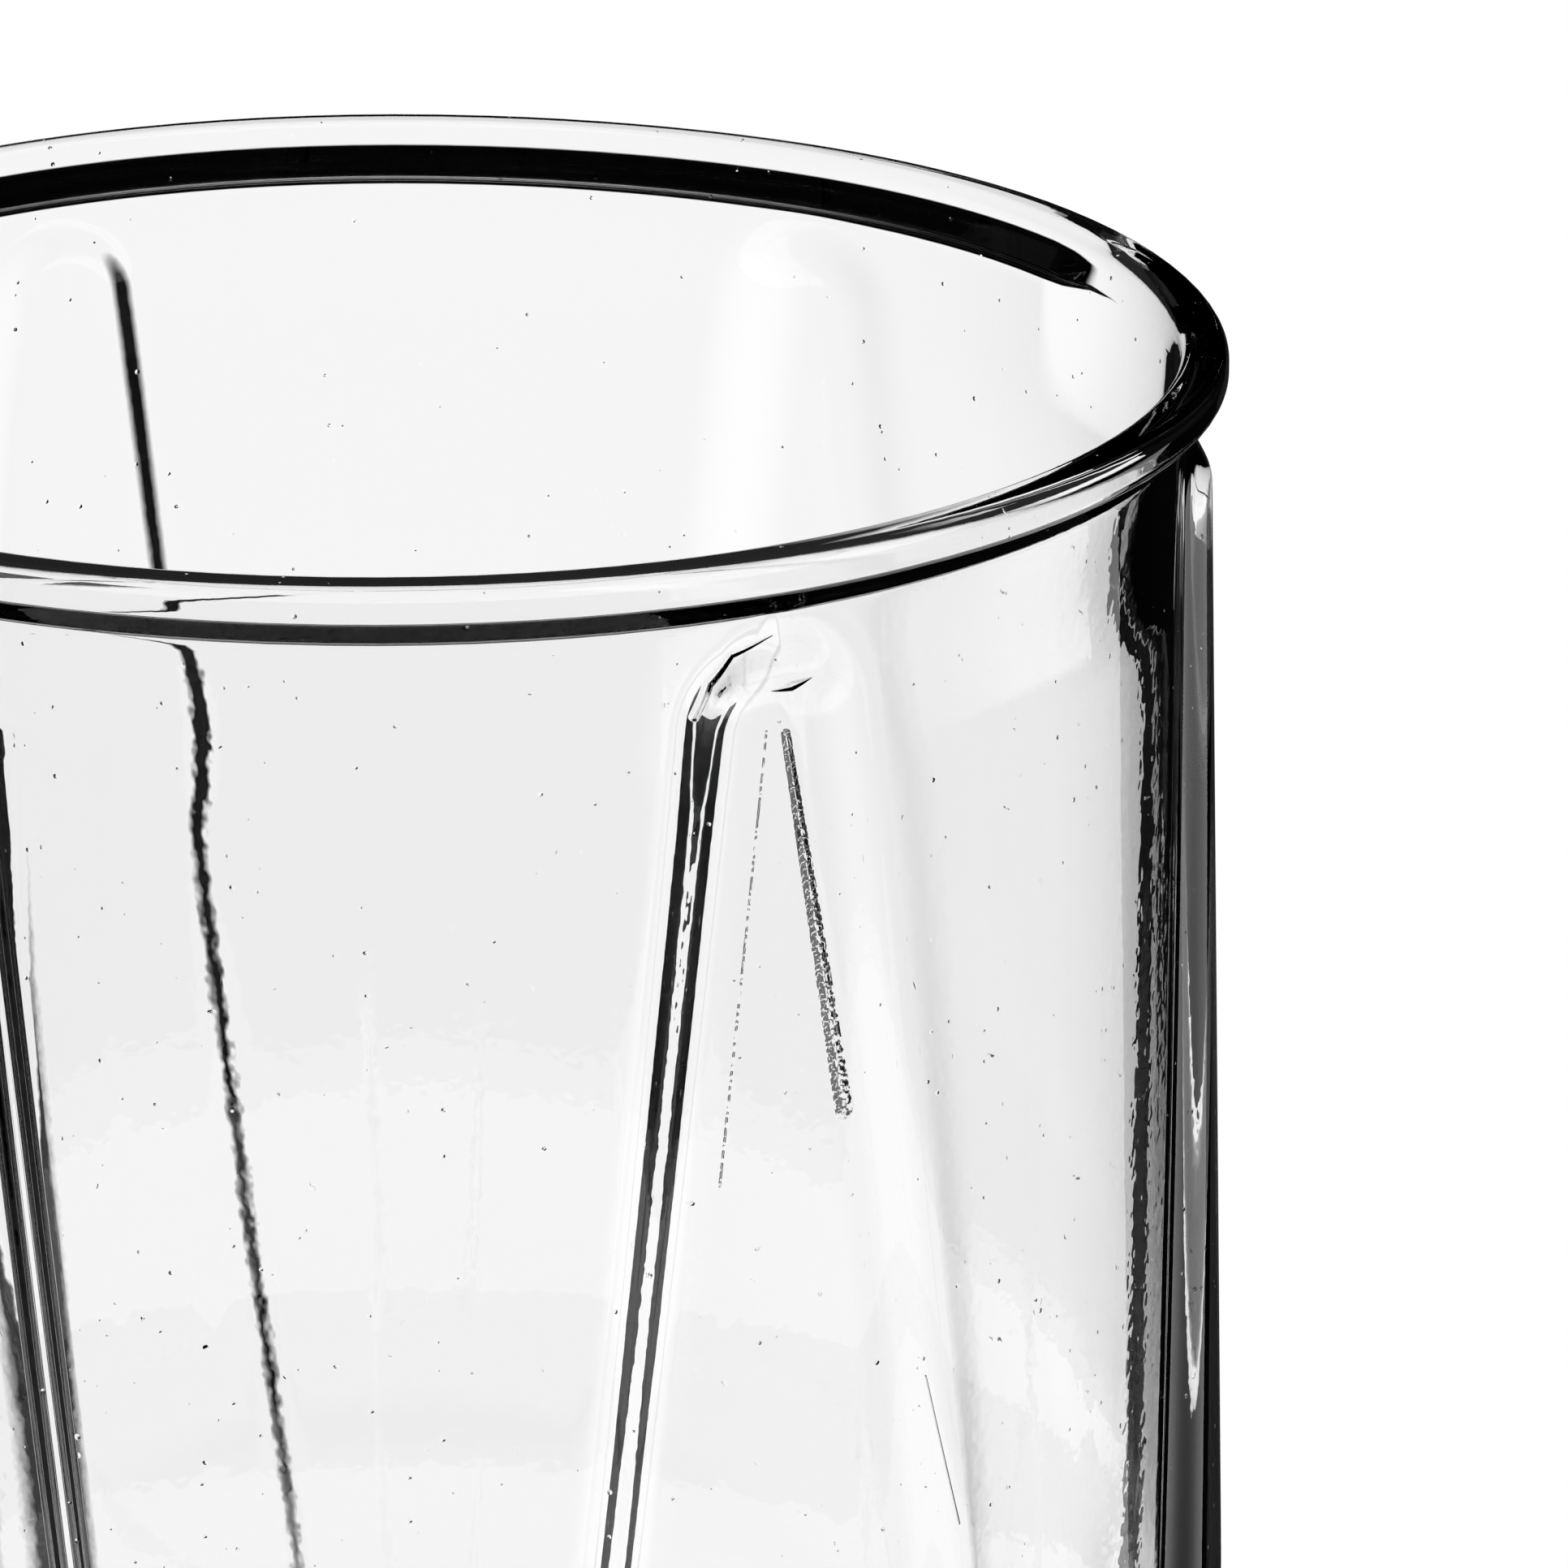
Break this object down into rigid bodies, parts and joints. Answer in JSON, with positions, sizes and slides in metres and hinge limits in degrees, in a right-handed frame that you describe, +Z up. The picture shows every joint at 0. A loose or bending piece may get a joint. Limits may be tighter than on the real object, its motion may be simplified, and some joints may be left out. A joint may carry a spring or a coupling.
{
  "type": "chai glass",
  "caption": "Clear pressed-glass tumbler for chai, with a rounded bead at the rim, raised tapering panels down the outside of the wall and a thick base with a flat foot ring.",
  "frame": {"origin": "centre of the foot, on the table", "axes": "+Z up along the axis of the glass, towards the mouth; +X through the middle of one raised panel"},
  "size_m": [0.0628, 0.062, 0.086],
  "materials": {
    "clear_glass": "colourless soda-lime glass, fire-polished"
  },
  "bodies": {
    "root": {"tumbler": "clear_glass"}
  },
  "joints": []
}
